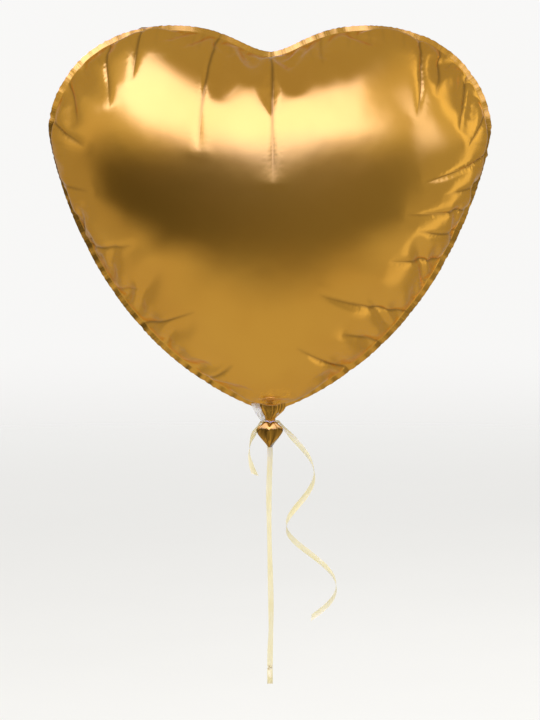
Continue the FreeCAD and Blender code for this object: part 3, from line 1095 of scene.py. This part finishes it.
def build_tail():
    _, front_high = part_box("tail_front_flap")
    _, back_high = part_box("tail_back_flap")
    leaf("tail_front", "tail_front_flap", "tail_front", front_high.y - 0.3 * MM, 3.2 * MM, -0.04, 0.3)
    leaf("tail_back", "tail_back_flap", "tail_back", back_high.y - 0.3 * MM, 2.2 * MM, 0.04, 1.9, 0.93)
    build_fold()


def film_strip(name, node, body, seed):
    """A valve strip: thin clear film, gently rippled, in its CAD sheet's place."""
    low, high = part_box(node)
    t, s = shares_over(60, 14)
    rounded = np.sqrt(np.clip(1 - (np.clip(t - 0.94, 0, 1) / 0.06) ** 2 * np.abs(s), 0.05, 1))
    x = (low.x + high.x) / 2 + s * (high.x - low.x) / 2 * np.clip(rounded, 0.75, 1)
    y = (low.y + high.y) / 2 + 0.05 * MM * np.sin(22 * t + seed) * np.sin(3 * s + seed)
    clear_piece(name, x, y, low.z + t * (high.z - low.z), body, node)


def build_side_film():
    """The crumpled bit of clear valve film that shows to the left of the neck."""
    t, s = shares_over(30, 30, left=0)
    low_x, low_z = (-7.5 + 5.5 * s) * MM, (1.0 + 0.5 * s) * MM
    top_x, top_z = (-17.0 + 19.0 * s) * MM, 17.0 * MM
    x = low_x + (top_x - low_x) * t - 1.3 * MM * np.sin(math.pi * t) * (1 - s)
    z = TIE_Z + low_z + (top_z - low_z) * t
    fold = np.sin(11 * s + 3 * t) + 0.7 * np.sin(19 * s - 7 * t + 1) + 0.5 * np.sin(13 * t + 4 * s)
    y = -1.2 * MM + 0.75 * MM * fold * (0.4 + 0.6 * np.sin(math.pi * t))
    clear_piece("valve_film_beside_neck", x, y, z, "balloon", "valve_side_film")


build_neck()
build_tail()
film_strip("valve_strip_front", "valve_front_film", "valve_front", 0.0)
film_strip("valve_strip_back", "valve_back_film", "valve_back", 1.4)
build_side_film()
neck_materials = frame["nodes"]["valve_neck_film"].data.materials
neck_materials.clear()
neck_materials.append(CLEAR)

# -------------------- stage, light and camera


def build_floor():
    """A pale floor, well under the loop: one wide triangle that fades into the background."""
    reach, angle = 20.0, np.radians([0, 120, 240])
    verts = np.c_[reach * np.cos(angle), reach * np.sin(angle), np.full(3, CAD_LOW.z - 0.45)]
    material, n = new_material("floor")
    distance = n.add("ShaderNodeVectorMath", operation="LENGTH")
    n.link(n.position((1, 1, 0)), distance.inputs[0])
    shader = n.add("ShaderNodeBsdfDiffuse")
    grain = n.noise(n.position(), 3.0, 3.0)
    n.put(shader.inputs["Color"], n.mix(grain, (0.86, 0.855, 0.84, 1), (0.89, 0.885, 0.87, 1)))
    both = n.add("ShaderNodeMixShader")
    clear = n.add("ShaderNodeBsdfTransparent").outputs[0]
    fading = n.ramp(distance.outputs["Value"], 1.5, 6.0)
    for socket, value in zip(both.inputs, (fading, shader.outputs[0], clear)):
        n.link(value, socket)
    n.link(both.outputs[0], n.add("ShaderNodeOutputMaterial").inputs["Surface"])
    floor = new_object("floor", verts, [range(3)], material)
    floor.visible_glossy = False


def build_world():
    """What the foil reflects: a big softbox high in front, two smaller lights on the right, and the dim room.

    Directions are in degrees: up from level, and turned to the right of the front.
    """
    world = bpy.data.worlds.new("studio")
    bpy.context.scene.world = world
    world.use_nodes = True
    n = Nodes(world.node_tree)
    split = n.add("ShaderNodeSeparateXYZ")
    n.link(n.add("ShaderNodeTexCoord").outputs["Generated"], split.inputs[0])
    x, y, z = split.outputs
    up = n.math("DEGREES", n.math("ARCSINE", z))
    turn = n.math("DEGREES", n.math("ARCTAN2", x, n.times(y, -1.0)))

    def band(value, low, high, soft_low, soft_high):
        rise = n.ramp(value, low - soft_low, low + soft_low)
        return n.times(rise, n.ramp(value, high - soft_high, high + soft_high, 1.0, 0.0))

    lower_edge = n.ramp(n.math("ABSOLUTE", turn), 0, 70, 0, 32)
    softbox = n.times(n.ramp(n.math("SUBTRACT", up, lower_edge), -4, 6), n.ramp(up, 58, 80, 1.0, 0.0))
    softbox = n.times(softbox, band(turn, -80, 38, 6, 5))
    small_box = n.times(band(up, 10, 40, 6, 8), band(turn, 52, 68, 4, 5))
    softbox = n.plus(softbox, n.times(small_box, 0.45))
    spill = n.times(band(up, 12, 58, 10, 16), band(turn, -100, 100, 20, 20))
    strip = n.times(band(up, -40, 45, 10, 10), band(turn, 86, 106, 5, 6))
    dim = n.times(band(up, -26, 14, 10, 12), band(turn, -66, 52, 12, 16))
    darker = n.times(dim, n.ramp(turn, -50, 40, 0.34, 0.22))
    room = n.math("SUBTRACT", n.ramp(up, -46, -28, 0.60, 0.45), darker)
    room = n.plus(n.plus(room, n.times(spill, 0.22)), n.times(strip, 0.5))
    tones = zip((1.0, 0.99, 0.97), (1.35, 1.62, 5.6))
    reflected = n.joined(*(n.plus(n.times(room, dull), n.times(softbox, bright)) for dull, bright in tones))
    backdrop = n.mix(n.ramp(z, -0.3, 0.4), (0.93, 0.925, 0.915, 1), (0.965, 0.96, 0.95, 1))
    path = n.add("ShaderNodeLightPath").outputs
    shown = n.mix(path["Is Glossy Ray"], (0.75, 0.745, 0.73, 1), reflected)
    shown = n.mix(path["Is Camera Ray"], shown, backdrop)
    background = n.add("ShaderNodeBackground")
    n.link(shown, background.inputs["Color"])
    n.link(background.outputs[0], n.add("ShaderNodeOutputWorld").inputs["Surface"])


def build_lights():
    """Soft lamps aimed at the heart, which reflections don't see."""
    for name, place, width, height, energy in (
        ("soft_over_front", (0.0, -1.4, 2.6), 2.0, 1.2, 45),
        ("fill_left", (-2.4, -0.6, 1.2), 1.2, 1.8, 12),
        ("fill_back", (1.2, 2.2, 1.8), 1.6, 1.6, 14),
    ):
        lamp = bpy.data.lights.new(name, "AREA")
        lamp.shape, lamp.size, lamp.size_y, lamp.energy = "RECTANGLE", width, height, energy
        holder = bpy.data.objects.new(name, lamp)
        bpy.context.scene.collection.objects.link(holder)
        holder.location = place
        aim = Vector((0, 0, TIP_Z + HEIGHT / 2)) - holder.location
        holder.rotation_euler = aim.to_track_quat("-Z", "Y").to_euler()
        holder.visible_glossy = False


def build_camera():
    """The photograph's angle: in front of this heart and a little above it."""
    data = bpy.data.cameras.new("camera")
    data.lens, data.sensor_width = 137, 36
    camera = bpy.data.objects.new("camera", data)
    bpy.context.scene.collection.objects.link(camera)
    elevation, distance = math.radians(7.5), 2.45
    back = Vector((0, -math.cos(elevation), math.sin(elevation)))
    camera.location = Vector((0, 0, (CAD_LOW.z + CAD_HIGH.z) / 2)) + back * distance
    camera.rotation_euler = (-back).to_track_quat("-Z", "Y").to_euler()
    bpy.context.scene.camera = camera


build_floor()
build_world()
build_lights()
build_camera()
bpy.context.scene.view_settings.view_transform = "Standard"
